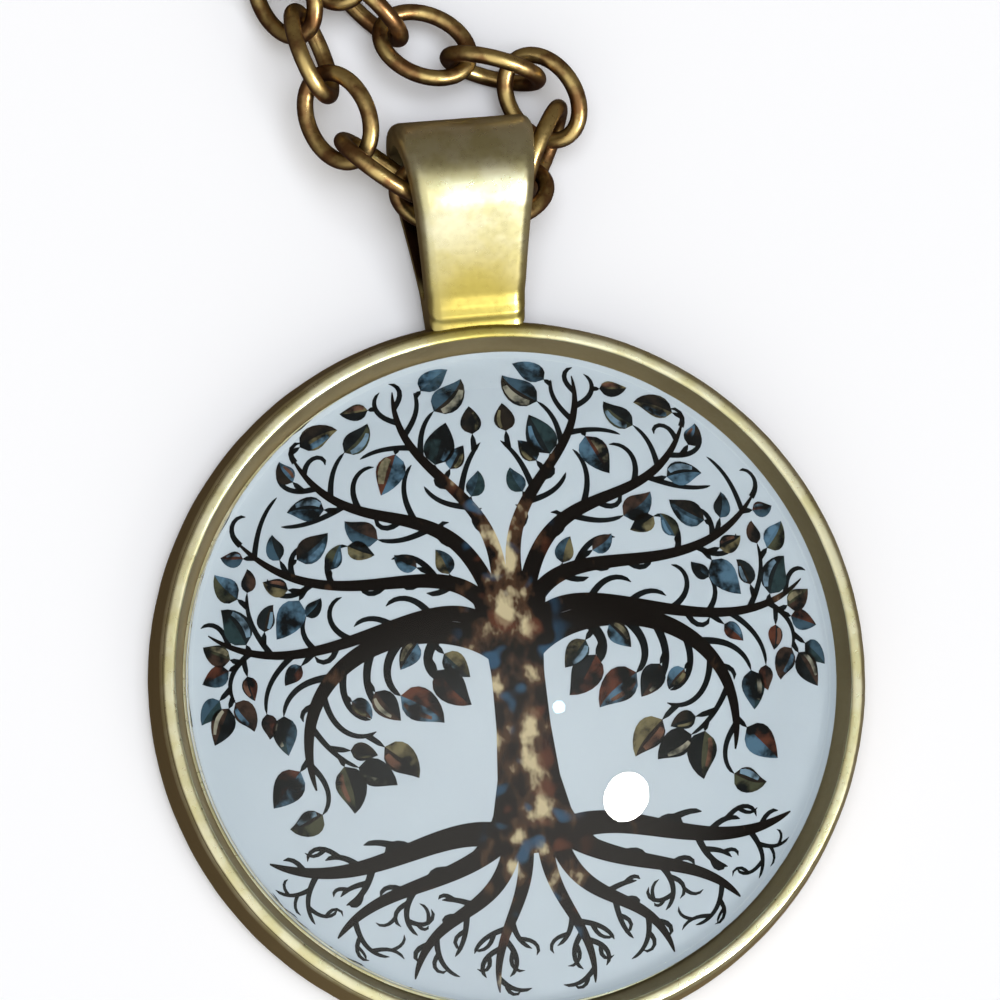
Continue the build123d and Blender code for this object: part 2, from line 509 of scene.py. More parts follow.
@dataclass
class Setting:
    """The cast tray and the bail that is cast on to its wall."""

    seat_radius: float = 12.7
    rim_inner: float = 13.1
    rim_outer: float = 13.6
    tray_radius: float = 14.0
    tray_height: float = 2.5
    tray_floor: float = 0.8
    foot_bevel: float = 0.3
    wall_straight: float = 0.7
    bead: float = 0.15
    bead_square: float = 3.0
    ledge: float = 0.1
    hub: float = 6.0
    wall_step: float = 0.25
    columns: int = 480
    relief: float = 0.012
    swells: tuple[Pair, ...] = ((1.3, 1.0), (0.5, 0.6))
    bail_centre: Pair = (19.1, 2.6)
    bail_radius: float = 2.6
    bail_sweep: Pair = (-105.3, 122.6)
    slope_y: tuple[float, ...] = (15.2, 14.7, 14.3, 13.95, 13.75, 13.4)
    slope_z: tuple[float, ...] = (3.19, 2.86, 2.68, 2.6, 2.42, 2.3)
    sole: tuple[Pair, Pair] = ((13.4, 0.7), (15.3, 0.72))
    bore_radius: float = 1.75
    throat: Pair = (15.3, 1.867)
    throat_radius: float = 0.4
    edge_round: float = 0.5
    bore_round: float = 0.1
    half_widths: tuple[Pair, ...] = ((13.4, 1.85), (17.55, 2.23), (21.7, 2.85))
    stations: tuple[int, ...] = (100, 24, 22, 8, 12, 14)
    face_steps: tuple[float, ...] = (-0.66, -0.33, 0.0, 0.33, 0.66)
    crease: float = 38.0
    finish: AntiquePlate = AntiquePlate(
        name="antique_gold_plate",
        bright="#F2EFCE",
        tone="#E2DDAE",
        # Colour of the flanks: partly the dip's patina, partly painted shade
        tarnish_and_shade="#988864",
        roughness=(0.26, 0.34),
        steep=(0.25, 0.72),
        relief=0.0015,
        drift=0.15,
        dull=0.34,
        stains_and_shade=(
            # Painted shade: a darker golden tone round the bail's foot
            StainAndShade("#C0B15E", (0.0, 14.4, 2.2), (1.0, 4.2)),
            # Near-black brown inside the bail's loop, where it is shut in: partly tarnish, partly painted
            # shade
            StainAndShade("#33241A", (0.0, 18.0, 0.3), (3.0, 3.9)),
        ),
    )

    def tray(self) -> Piece:
        """Turns the dish, then gives its rim and wall the slight unevenness of a casting.

        Returns:
            The dish, a closed solid.
        """
        base = self.tray_height - self.bead
        middle = (self.rim_inner + self.rim_outer) / 2
        width = (self.rim_outer - self.rim_inner) / 2
        bend = 2 / self.bead_square
        top = []
        for angle in np.radians(np.linspace(0, 180, 25)):
            across = math.copysign(abs(math.cos(angle)) ** bend, math.cos(angle))
            top.append((middle + width * across, base + self.bead * abs(math.sin(angle)) ** bend))
        outside = [
            (self.tray_radius - self.foot_bevel, 0.0),
            (self.tray_radius, self.foot_bevel),
            (self.tray_radius, self.wall_straight),
            (self.rim_outer + self.ledge, base - self.ledge),
        ]
        wall = divided(outside + top + [(self.seat_radius, self.tray_floor)], self.wall_step)
        back = [(0.0, 0.0), (self.hub, 0.0)]
        dish = [(self.hub, self.tray_floor), (0.0, self.tray_floor)]
        piece = lathe("cast_setting", np.concatenate([back, wall, dish]), self.columns)
        crest = sum(height for _, height in self.swells)
        for vertex in piece.data.vertices:
            if vertex.co.xy.length > self.rim_inner * MM:
                swell = sum(height * noise.noise(vertex.co / (gap * MM)) for gap, height in self.swells)
                out = vertex.co.xy.normalized() * swell * self.relief * MM
                vertex.co.x -= out.x
                vertex.co.y -= out.y
                vertex.co.z -= (crest + swell) / 2 * self.relief * MM if vertex.co.z > MM else 0
        return piece

    def outline(self) -> tuple[np.ndarray, np.ndarray]:
        """Pairs the band's outer line with the bore's, run by run, seen along X.

        Returns:
            Outer and bore points (y, z), one of each for every station.
        """
        gap = math.dist(self.bail_centre, self.throat)
        lean = math.atan2(self.bail_centre[1] - self.throat[1], self.bail_centre[0] - self.throat[0])
        spread = math.acos((self.bore_radius - self.throat_radius) / gap)
        up = math.degrees(lean + math.pi - spread)
        down = math.degrees(lean - math.pi + spread)
        bow = arc(self.bail_centre, self.bail_radius, *self.bail_sweep, 80)
        slope = list(zip(self.slope_y, self.slope_z))
        toe, heel = self.sole
        bore = arc(self.bail_centre, self.bore_radius, down, up, 80)
        back = arc(self.throat, self.throat_radius, up, down + 360, 24)
        outer_runs = [bow, [bow[-1], slope[0]], slope, [slope[-1], toe], [toe, heel], [heel, bow[0]]]
        # The throat's arc is shared by three runs
        bore_runs = [bore, [bore[-1], back[0]], back[:9], back[8:17], back[16:], [back[-1], bore[0]]]
        outer, inner = [
            np.concatenate([spaced(run, count) for run, count in zip(runs, self.stations)])
            for runs in (outer_runs, bore_runs)
        ]
        return outer, inner

    def bail(self) -> Piece:
        """Lofts the band's rounded section round the bore.

        Returns:
            The bail, a closed ring.
        """
        outer, inner = self.outline()
        curve = np.polyfit(*np.array(self.half_widths).T, 2)
        rings = []
        for start, end in zip(outer, inner):
            depth = float(np.linalg.norm(end - start))
            across = (end - start) / depth
            low = depth - self.bore_round
            side = arc((-self.edge_round, self.edge_round), self.edge_round, -90, 0, 8)
            side.append((0.0, (self.edge_round + low) / 2))
            side += arc((-self.bore_round, low), self.bore_round, 0, 90, 3)
            half = []
            for inset, level in side:
                y, z = start + across * level
                half.append((np.polyval(curve, y) + inset, y, z))
            flat = [(half[0][0] * k, *half[0][1:]) for k in self.face_steps]
            inside = [(half[-1][0] * k, *half[-1][1:]) for k in reversed(self.face_steps)]
            rings.append(flat + half + inside + [(-x, y, z) for x, y, z in reversed(half)])
        rows = np.array(rings)
        total, around = rows.shape[:2]
        faces = []
        for i in range(total):
            here = i * around
            there = (i + 1) % total * around
            for j in range(around):
                beside = (j + 1) % around
                faces.append([here + j, here + beside, there + beside, there + j])
        return mesh_object("bail", rows.reshape(-1, 3), faces)

    def build(self) -> Piece:
        """Joins tray and bail to one casting and plates it.

        Returns:
            The setting.
        """
        tray = self.tray()
        bail = self.bail()
        for piece in (tray, bail):
            face_outwards(piece)
        union = tray.modifiers.new("cast_on", "BOOLEAN")
        union.operation = "UNION"
        union.solver = "EXACT"
        union.object = bail
        bake_modifiers(tray)
        bpy.data.objects.remove(bail)
        tray.data.set_sharp_from_angle(angle=math.radians(self.crease))
        tray.data.materials.clear()
        tray.data.materials.append(self.finish.material())
        declare(tray, "setting")
        return tray


@dataclass
class GlassDome:
    """The domed glass cabochon on the print."""

    radius: float = 12.6
    base: float = 1.08
    girdle: float = 2.18
    top: float = 6.78
    edge_round: float = 0.3
    hub: float = 6.3
    columns: int = 256
    finish: PolishedGlass = PolishedGlass()

    def build(self) -> Piece:
        """Turns the dome from its flat base, over its rounded girdle, to its top.

        Returns:
            The glass.
        """
        rise = self.top - self.girdle
        sphere = (self.radius**2 + rise**2) / (2 * rise)
        middle = self.top - sphere
        # The girdle's round meets the wall and the sphere
        reach = sphere - self.edge_round
        round_radius = self.radius - self.edge_round
        round_height = middle + math.sqrt(reach**2 - round_radius**2)
        meet = math.degrees(math.atan2(round_height - middle, round_radius))
        section = [(0.0, self.base), (self.hub, self.base)]
        section += arc((round_radius, self.base + self.edge_round), self.edge_round, -90, 0, 6)
        section += arc((round_radius, round_height), self.edge_round, 0, meet, 6)
        section += arc((0.0, middle), sphere, meet, 90, 44)[1:]
        piece = lathe("glass_cabochon", np.array(section), self.columns)
        face_outwards(piece)
        piece.data.materials.append(self.finish.material())
        declare(piece, "glass_dome")
        return piece


class Ink(Enum):
    """Layers of ink on the paper, from the lowest up."""

    TWIG = 0
    BARK = 1
    LEAF = 2
    SHINE = 3


@dataclass
class Strip:
    """A flat shape of ink between a left and a right edge."""

    left: np.ndarray
    right: np.ndarray
    ink: Ink
    tint: str

    def mirrored(self) -> "Strip":
        """The same shape on the other side of the trunk."""
        flip = np.array([-1.0, 1.0])
        return Strip(self.right * flip, self.left * flip, self.ink, self.tint)


@dataclass(frozen=True)
class Bough:
    """A bough or root: a cubic curve with its width, and the twigs that it carries."""

    start: Pair
    pull: Pair
    push: Pair
    end: Pair
    width: float
    twigs: int
    twig_length: float
    leafy: bool = True

    def path(self, steps: int = 60) -> np.ndarray:
        """Points along the curve.

        Args:
            steps: How many points.

        Returns:
            The points, from start to end.
        """
        t = np.linspace(0, 1, steps)[:, None]
        start, pull, push, end = (np.array(p) for p in (self.start, self.pull, self.push, self.end))
        return start * (1 - t) ** 3 + 3 * pull * t * (1 - t) ** 2 + 3 * push * t**2 * (1 - t) + end * t**3


@dataclass
class TreeDrawing:
    """A plain symmetric tree with leafy boughs and bare roots, grown where there is room."""

    reach: float = 12.1
    clearance: float = 0.09
    middle_gap: float = 0.12
    seed: int = 11
    trunk: tuple[tuple[float, ...], tuple[float, ...]] = (
        (-6.3, -5.7, -4.9, -3.6, -1.8, 0.0, 1.6, 2.7, 3.3),
        (2.5, 1.9, 1.4, 1.1, 0.95, 0.92, 1.05, 1.3, 0.9),
    )
    boughs: tuple[Bough, ...] = (
        Bough((0.7, 1.0), (3.0, 2.8), (8.6, 1.4), (7.6, -3.4), 0.8, 14, 2.6),
        Bough((0.7, 1.6), (2.6, 4.0), (7.2, -0.4), (11.2, 2.6), 0.55, 13, 2.4),
        Bough((0.65, 2.2), (2.2, 5.2), (6.4, 1.8), (9.8, 6.0), 0.55, 13, 2.4),
        Bough((0.55, 2.6), (1.8, 7.4), (5.4, 4.6), (7.4, 8.9), 0.55, 13, 2.5),
        Bough((0.3, 3.0), (-0.1, 7.0), (3.6, 7.2), (3.4, 11.0), 0.5, 13, 2.4),
        Bough((1.5, -5.5), (3.8, -5.0), (6.4, -7.4), (9.8, -6.0), 0.8, 14, 2.4, False),
        Bough((1.2, -5.8), (3.4, -7.4), (5.8, -6.9), (7.6, -9.0), 0.65, 13, 2.3, False),
        Bough((0.8, -5.9), (1.6, -8.8), (4.0, -7.8), (4.9, -10.8), 0.6, 13, 2.2, False),
        Bough((0.35, -6.0), (0.4, -8.4), (1.9, -9.0), (1.8, -11.6), 0.5, 12, 2.0, False),
    )
    ground_line: float = -5.4
    twig_tint: str = "#0F1517"
    twig_tries: int = 16
    twig_bend: Pair = (0.6, 3.6)
    twig_tilt: Pair = (0.6, 1.05)
    twig_taper: float = 0.6
    fork_tilt: Pair = (0.6, 1.0)
    tip_leaf: Pair = (1.4, 1.9)
    tip_curl: Pair = (0.2, 0.9)
    leaf_tries: int = 6000
    leaf_size: Pair = (1.75, 0.85)
    leaf_tilt: Pair = (0.5, 1.5)
    leaf_curl: Pair = (-0.6, 0.9)
    leaf_width: float = 0.66
    leaf_room: float = 0.18
    stalk_step: Pair = (0.08, 0.26)
    stalk_width: Pair = (0.24, 0.16)
    shiny: float = 0.62
    shine_width: Pair = (0.14, 0.3)
    leaf_tints: str = "#14191B #1C2224 #2A231D #3E5663 #557486 #4A4A36 #776C4B #5E3526 #46342A #2C3F40"
    shine_tints: str = "#7E97A5 #8F8465 #7C7352 #5F7F92 #A09A84 #74503E"
    strips: list[Strip] = field(default_factory=list)

    def __post_init__(self) -> None:
        """Sets up the record of what space is taken."""
        self.dice = random.Random(self.seed)
        heights, halves = self.trunk
        self.spots = [np.array([[0.0, y]]) for y in heights]
        self.radii = [np.array([half]) for half in halves]
        self.owners = [np.array([-1])] * len(heights)
        self.lines = 0
        self.perches: list[tuple[np.ndarray, float, int]] = []

    @staticmethod
    def ribbon(points: np.ndarray, widths: np.ndarray) -> tuple[np.ndarray, np.ndarray]:
        """Gives a line its edges.

        Args:
            points: The line.
            widths: Its width at each point.

        Returns:
            Its left and right edges.
        """
        along = np.gradient(points, axis=0)
        along /= np.linalg.norm(along, axis=1)[:, None]
        across = np.stack([-along[:, 1], along[:, 0]], axis=1) * widths[:, None] / 2
        return points + across, points - across

    @staticmethod
    def rounded(count: int) -> np.ndarray:
        """Shares of a line's width that round off its far end."""
        return np.sqrt(np.maximum(0.04, 1 - np.linspace(0, 1, count) ** 12))

    @staticmethod
    def walked(base: np.ndarray, turns: np.ndarray, step: float) -> np.ndarray:
        """Points of a walk from a base with a heading for each step."""
        steps = np.stack([np.cos(turns[:-1]), np.sin(turns[:-1])], axis=1) * step
        return base + np.concatenate([[[0, 0]], np.cumsum(steps, axis=0)])

    def clear(self, points: np.ndarray, radius: float, parent: int, free: float) -> bool:
        """Tests for room.

        Args:
            points: The line to test, which starts on its parent.
            radius: Its half width.
            parent: The line that it grows from.
            free: How far from its start it may be near its parent.

        Returns:
            Whether it lies inside the disc and clear of what is drawn.
        """
        tested = points[1:]
        far = np.max(np.hypot(*tested.T)) > self.reach - radius
        if far or np.min(tested[:, 0]) < radius + self.middle_gap:
            return False
        away = np.linalg.norm(tested[:, None] - np.concatenate(self.spots)[None], axis=2)
        gap = away - np.concatenate(self.radii)[None] - radius
        near = np.linalg.norm(tested - points[0], axis=1) < free
        gap[np.ix_(near, np.concatenate(self.owners) == parent)] = math.inf
        return bool(np.min(gap) > self.clearance)

    def keep(self, points: np.ndarray, radii: np.ndarray | float, owner: int) -> None:
        """Marks a line's space as taken.

        Args:
            points: The line.
            radii: Its half width, or one for each point.
            owner: The line's number.
        """
        self.spots.append(points)
        self.radii.append(np.broadcast_to(radii, len(points)))
        self.owners.append(np.full(len(points), owner))

    def stroke(self, points: np.ndarray, start: float, end: float) -> None:
        """Draws a line that narrows from its start width to its end width."""
        widths = np.linspace(start, end, len(points)) * self.rounded(len(points))
        self.strips.append(Strip(*self.ribbon(points, widths), Ink.TWIG, self.twig_tint))

    def leaf(self, base: np.ndarray, heading: float, length: float, curl: float, parent: int) -> bool:
        """Draws an almond leaf in two tones, often with a streak of light.

        Args:
            base: Where its stalk ends.
            heading: The way that it points.
            length: How long it is.
            curl: How far its tip turns.
            parent: The line that it grows from.

        Returns:
            Whether there was room for it.
        """
        share = np.linspace(0, 1, 9)
        spine = self.walked(base, heading + curl * share**2, length / 8)
        width = self.leaf_width * length * np.sin(np.pi * share**0.72) ** 0.9
        if not self.clear(spine, self.leaf_room * length, parent, length):
            return False
        left, right = self.ribbon(spine, width)
        for edges in ((left, spine), (spine, right)):
            self.strips.append(Strip(*edges, Ink.LEAF, self.dice.choice(self.leaf_tints.split())))
        if self.dice.random() < self.shiny:
            middle = spine[1:-2] * 0.45 + left[1:-2] * 0.55
            edges = self.ribbon(middle, width[1:-2] * self.dice.uniform(*self.shine_width))
            self.strips.append(Strip(*edges, Ink.SHINE, self.dice.choice(self.shine_tints.split())))
        self.keep(spine[2:], self.leaf_room * length, -2)
        return True

    def twig(
        self, base: np.ndarray, heading: float, side: int, length: float, width: float, parent: int,
        leafy: bool, depth: int = 0,
    ) -> None:
        """Grows one twig as long as there is room, with its shoots and its leaf.

        Args:
            base: Where it starts.
            heading: The way that it sets off.
            side: The side that it bends to, 1 or -1.
            length: The most that it grows.
            width: Its width at the start.
            parent: The line that it grows from.
            leafy: Whether it carries leaves.
            depth: How many forks lie between it and its bough.
        """
        for attempt in range(self.twig_tries):
            reach = length * (1 - 0.04 * attempt)
            count = max(6, int(reach / 0.16))
            bend = (side if attempt % 2 else -side) * self.dice.uniform(*self.twig_bend)
            turns = heading + bend * np.linspace(0, 1, count) ** 1.6
            path = self.walked(base, turns, reach / (count - 1))
            below = np.max(path[:, 1]) < self.ground_line
            if (leafy or below) and self.clear(path, width / 2, parent, 1.0):
                break
        else:
            return
        self.lines += 1
        own = self.lines
        self.stroke(path, width, width * self.twig_taper)
        self.keep(path[1:], width / 2, own)
        if leafy:
            self.perches += [(path[i], turns[i], own) for i in range(2, count - 1)]
            size = self.dice.uniform(*self.tip_leaf)
            for scale in (1.0, 0.86, 0.72, 0.6):
                curl = side * self.dice.uniform(*self.tip_curl)
                if self.leaf(path[-1], turns[-1], size * scale, curl, own):
                    break
        elif depth < 2 and reach > 1.2:
            for share, sign in ((0.4, 1), (0.7, -1)):
                i = int(share * (count - 1))
                fork = turns[i] + sign * side * self.dice.uniform(*self.fork_tilt)
                self.twig(path[i], fork, -sign * side, length * 0.62, width * 0.8, own, leafy, depth + 1)

    def draw(self) -> list[Strip]:
        """Draws boughs and roots, then twigs, then leaves in the gaps, and mirrors them all.

        Returns:
            The shapes of ink.
        """
        grown = []
        for bough in self.boughs:
            path = bough.path()
            widths = 1.15 * bough.width * (1 - 0.65 * np.linspace(0, 1, len(path)))
            drawn = self.ribbon(path, widths * self.rounded(len(path)))
            self.strips.append(Strip(*drawn, Ink.BARK, self.twig_tint))
            self.lines += 1
            self.keep(path, widths / 2, self.lines)
            slope = np.gradient(path, axis=0)
            turns = np.arctan2(slope[:, 1], slope[:, 0])
            grown.append((bough, path, widths, turns, self.lines))
            if bough.leafy:
                self.perches += [(path[i], turns[i], self.lines) for i in range(12, len(path))]
        for bough, path, widths, turns, own in grown:
            for k in range(bough.twigs):
                i = int((0.22 + 0.78 * k / (bough.twigs - 1)) * (len(path) - 1))
                side = 1 if k % 2 else -1
                tilt = 0 if k == bough.twigs - 1 else side * self.dice.uniform(*self.twig_tilt)
                length = bough.twig_length * self.dice.uniform(0.8, 1.1)
                width = max(0.24, widths[i] * 0.5)
                self.twig(path[i], turns[i] + tilt, -side, length, width, own, bough.leafy)
        largest, shrink = self.leaf_size
        for attempt in range(self.leaf_tries):
            spot, way, own = self.dice.choice(self.perches)
            heading = way + self.dice.choice((-1, 1)) * self.dice.uniform(*self.leaf_tilt)
            stalk = self.walked(spot, np.full(4, heading), self.dice.uniform(*self.stalk_step))
            size = largest - shrink * attempt / self.leaf_tries
            if self.leaf(stalk[-1], heading, size, self.dice.uniform(*self.leaf_curl), own):
                self.stroke(stalk, *self.stalk_width)
        self.strips += [strip.mirrored() for strip in self.strips]
        heights, halves = self.trunk
        y = np.linspace(heights[0], heights[-1], 40)
        half = np.interp(y, heights, halves)
        edges = (np.stack([-half, y], axis=1), np.stack([half, y], axis=1))
        self.strips.append(Strip(*edges, Ink.BARK, self.twig_tint))
        return self.strips


@dataclass
class PictureDisc:
    """The printed paper disc: the ground, and each shape of ink as a film on it."""

    radius: float = 12.6
    base: float = 0.84
    top: float = 1.04
    film: float = 0.008
    film_foot: float = 0.4
    bark_step: float = 0.0003
    columns: int = 192
    bare: str = "#FFFFFF"
    drawing: TreeDrawing = field(default_factory=TreeDrawing)
    paper: PrintedPaper = PrintedPaper()
    foliage: FoliageInk = FoliageInk()
    bark: BarkInk = BarkInk()

    def film_mesh(self, strip: Strip, first: int, lift: float) -> tuple[np.ndarray, Faces]:
        """Makes a strip of ink a closed film.

        Args:
            strip: The shape.
            first: The number that its first point gets.
            lift: How far it lies above its layer.

        Returns:
            Its points and its faces.
        """
        rows = len(strip.left)
        under = 2 * rows
        flat = np.concatenate([strip.left, strip.right])
        high = self.top + self.film * (strip.ink.value + 1) + lift
        low = self.top + self.film * self.film_foot
        points = np.concatenate([np.c_[flat, np.full(under, level)] for level in (high, low)])
        faces = []
        for k in range(rows - 1):
            faces.append([rows + k, rows + k + 1, k + 1, k])
            faces.append([under + k, under + k + 1, under + rows + k + 1, under + rows + k])
            faces.append([k, k + 1, under + k + 1, under + k])
            faces.append([under + rows + k, under + rows + k + 1, rows + k + 1, rows + k])
        faces.append([under - 1, 2 * under - 1, under + rows - 1, rows - 1])
        faces.append([0, under, under + rows, rows])
        return points, [[first + i for i in face] for face in faces]

    def build(self) -> Piece:
        """Stacks the films on the disc in one mesh.

        Returns:
            The picture.
        """
        section = [(0.0, self.base), (self.radius, self.base), (self.radius, self.top), (0.0, self.top)]
        disc = lathe("paper", np.array(section), self.columns)
        disc.data.shade_flat()
        points = [np.array([v.co for v in disc.data.vertices]) / MM]
        faces = [list(p.vertices) for p in disc.data.polygons]
        bpy.data.objects.remove(disc)
        count = len(points[0])
        slots = [0] * len(faces)
        tints = [linear(self.bare)] * count
        lift = 0.0
        for strip in self.drawing.draw():
            # Boughs and trunk overlap, so each lies a hair above the one before
            woody = strip.ink is Ink.BARK
            lift += self.bark_step if woody else 0.0
            film_points, film_faces = self.film_mesh(strip, count, lift if woody else 0.0)
            points.append(film_points)
            faces += film_faces
            slots += [2 if woody else 1] * len(film_faces)
            tints += [linear(strip.tint)] * len(film_points)
            count += len(film_points)
        piece = mesh_object("printed_picture", np.concatenate(points), faces)
        piece.data.shade_flat()
        for finish in (self.paper, self.foliage, self.bark):
            piece.data.materials.append(finish.material())
        piece.data.polygons.foreach_set("material_index", slots)
        attribute = piece.data.color_attributes.new(self.foliage.attribute, "FLOAT_COLOR", "POINT")
        attribute.data.foreach_set("color", np.array(tints, dtype=np.float32).ravel())
        declare(piece, "picture_disc")
        return piece


@dataclass
class OvalRings:
    """Geometry Nodes that set oval rings of round wire on points."""

    name: str
    length: float
    width: float
    wire: float
    near_steps: int = 64
    near_sides: int = 20
    far_steps: int = 14
    far_sides: int = 6

    def inputs(self, material: bpy.types.Material) -> dict[str, tuple[str, Any]]:
        """The tree's named inputs.

        Args:
            material: The rings' finish.

        Returns:
            The socket type and the value of each.
        """
        return {
            "Length": ("NodeSocketFloat", self.length * MM),
            "Width": ("NodeSocketFloat", self.width * MM),
            "Wire": ("NodeSocketFloat", self.wire * MM),
            "Near Steps": ("NodeSocketInt", self.near_steps),
            "Near Sides": ("NodeSocketInt", self.near_sides),
            "Far Steps": ("NodeSocketInt", self.far_steps),
            "Far Sides": ("NodeSocketInt", self.far_sides),
            "Finish": ("NodeSocketMaterial", material),
        }

    def tree(self, inputs: dict[str, tuple[str, Any]]) -> bpy.types.NodeTree:
        """Builds the tree: a round wire swept along an oval, set on each place, fine or plain.

        Args:
            inputs: The named inputs, with their socket types.

        Returns:
            The node tree.
        """
        tree = bpy.data.node_groups.new(self.name, "GeometryNodeTree")
        tree.interface.new_socket("Places", in_out="INPUT", socket_type="NodeSocketGeometry")
        for label, (kind, _) in inputs.items():
            tree.interface.new_socket(label, in_out="INPUT", socket_type=kind)
        tree.interface.new_socket("Rings", in_out="OUTPUT", socket_type="NodeSocketGeometry")
        add = partial(add_node, tree)
        entry = add("NodeGroupInput").outputs
        wire = entry["Wire"]
        long_side = add("ShaderNodeMath", {0: entry["Length"], 1: wire}, operation="SUBTRACT")
        short_side = add("ShaderNodeMath", {0: entry["Width"], 1: wire}, operation="SUBTRACT")
        spans = add("ShaderNodeCombineXYZ", {"X": long_side, "Y": short_side, "Z": 1.0})
        thick = add("ShaderNodeMath", {0: wire, 1: 0.5}, operation="MULTIPLY")
        turn = add("GeometryNodeInputNamedAttribute", {"Name": "turn"}, data_type="FLOAT_VECTOR")
        pose = add("FunctionNodeEulerToRotation", {"Euler": turn.outputs["Attribute"]})
        near = add("GeometryNodeInputNamedAttribute", {"Name": "near"}, data_type="BOOLEAN")
        far = add("FunctionNodeBooleanMath", {0: near.outputs["Attribute"]}, operation="NOT")
        joined = add("GeometryNodeJoinGeometry")
        for chosen, kind in ((near, "Near"), (far, "Far")):
            path = {"Resolution": entry[f"{kind} Steps"], "Radius": 0.5}
            round_wire = {"Resolution": entry[f"{kind} Sides"], "Radius": thick}
            circle, section = [
                add("GeometryNodeCurvePrimitiveCircle", sizes, mode="RADIUS") for sizes in (path, round_wire)
            ]
            oval = add("GeometryNodeTransform", {"Geometry": circle, "Scale": spans})
            ring = add("GeometryNodeCurveToMesh", {"Curve": oval, "Profile Curve": section})
            placed = {"Points": entry["Places"], "Selection": chosen, "Instance": ring, "Rotation": pose}
            rings = add("GeometryNodeInstanceOnPoints", placed)
            tree.links.new(rings.outputs["Instances"], joined.inputs["Geometry"])
        solid = add("GeometryNodeRealizeInstances", {"Geometry": joined})
        smooth = add("GeometryNodeSetShadeSmooth", {"Geometry": solid})
        dressed = add("GeometryNodeSetMaterial", {"Geometry": smooth, "Material": entry["Finish"]})
        add("NodeGroupOutput", {"Rings": dressed})
        return tree

    def build(
        self, centres: np.ndarray, turns: np.ndarray, near: np.ndarray, material: bpy.types.Material
    ) -> Piece:
        """Sets a ring on each place.

        Args:
            centres: The rings' middles in millimetres.
            turns: Their Euler angles, with the long side along X at no turn.
            near: Whether each has the fine wire.
            material: Their finish.

        Returns:
            One plain mesh with all the rings.
        """
        piece = mesh_object(self.name, centres, [])
        mesh = piece.data
        mesh.attributes.new("turn", "FLOAT_VECTOR", "POINT").data.foreach_set("vector", turns.ravel())
        mesh.attributes.new("near", "BOOLEAN", "POINT").data.foreach_set("value", near)
        inputs = self.inputs(material)
        modifier = piece.modifiers.new("rings", "NODES")
        modifier.node_group = self.tree(inputs)
        for socket in modifier.node_group.interface.items_tree:
            if socket.name in inputs:
                modifier[socket.identifier] = inputs[socket.name][1]
        bake_modifiers(piece)
        return piece


WIRE_FINISH = AntiquePlate(
    name="antique_brass_wire",
    bright="#DCC384",
    tone="#98734D",
    # Colour of the flanks: partly the dip's patina, partly painted shade
    tarnish_and_shade="#5E4131",
    roughness=(0.26, 0.4),
    steep=(0.2, 0.95),
    mottle=0.9,
    grain=0.16,
    relief=0.004,
)


@dataclass
class Chain:
    """The loop of oval links, each set where the CAD link lies."""

    rings: OvalRings = field(default_factory=lambda: OvalRings("cable_chain", 4.3, 3.3, 0.65))
    bail: Pair = (0.0, 24.0)
    near: float = 17.0
    merge: float = 1e-7
    finish: AntiquePlate = WIRE_FINISH

    def solids(self, node: Piece) -> list[np.ndarray]:
        """Splits a CAD node into its separate solids.

        Args:
            node: The CAD node's object.

        Returns:
            The triangles' corners of each solid.
        """
        mesh = node.data
        points = np.empty(len(mesh.vertices) * 3, dtype=np.float32)
        mesh.vertices.foreach_get("co", points)
        points = points.reshape(-1, 3).astype(float)
        loops = np.empty(len(mesh.loops), dtype=np.int32)
        mesh.loops.foreach_get("vertex_index", loops)
        cells = np.round(points / self.merge).astype(np.int64)
        corners = np.unique(cells, axis=0, return_inverse=True)[1].ravel()[loops].reshape(-1, 3)
        # Each corner takes the lowest number that it is joined to, until none changes
        root = np.arange(corners.max() + 1)
        before = np.zeros(0)
        while not np.array_equal(root, before):
            before = root.copy()
            lowest = root[corners].min(axis=1)
            for k in range(3):
                np.minimum.at(root, before[corners[:, k]], lowest)
            root = root[root]
        labels = root[corners[:, 0]]
        triangles = points[loops].reshape(-1, 3, 3)
        return [triangles[labels == label] for label in np.unique(labels)]

    @staticmethod
    def axes(triangles: np.ndarray) -> tuple[np.ndarray, Matrix]:
        """Finds how a link lies.

        Args:
            triangles: The link's triangles.

        Returns:
            Its middle, and the turn that takes X to its length and Z to its normal.
        """
        first, second, third = triangles.swapaxes(0, 1)
        area = np.linalg.norm(np.cross(second - first, third - first), axis=1)
        middles = triangles.mean(axis=1)
        centre = np.average(middles, axis=0, weights=area)
        vectors = np.linalg.eigh(np.cov((middles - centre).T, aweights=area))[1]
        normal, length = vectors[:, 0], vectors[:, 2]
        return centre, Matrix(np.stack([length, np.cross(normal, length), normal], axis=1).tolist())

    def build(self, node: Piece) -> Piece:
        """Sets the links, with finer wire near the bail.

        Args:
            node: The CAD chain.

        Returns:
            The whole chain as one piece.
        """
        placed = [self.axes(solid) for solid in self.solids(node)]
        centres = np.array([centre for centre, _ in placed]) / MM
        turns = np.array([tuple(turn.to_euler()) for _, turn in placed])
        near = np.linalg.norm(centres[:, :2] - np.array(self.bail), axis=1) < self.near
        piece = self.rings.build(centres, turns, near, self.finish.material())
        log.info("chain: %d links, %d of them fine", len(near), near.sum())
        declare(piece, "chain")
        return piece


@dataclass
class Clasp:
    """The plain closed clasp with its eye, outside the photographed part."""

    finish: AntiquePlate = WIRE_FINISH

    def dress(self, node: Piece) -> None:
        """Gives the CAD clasp, whose shape is right, the chain's finish.

        Args:
            node: The CAD clasp.
        """
        node.data.materials.clear()
        node.data.materials.append(self.finish.material())
        log.info("clasp: dressed")


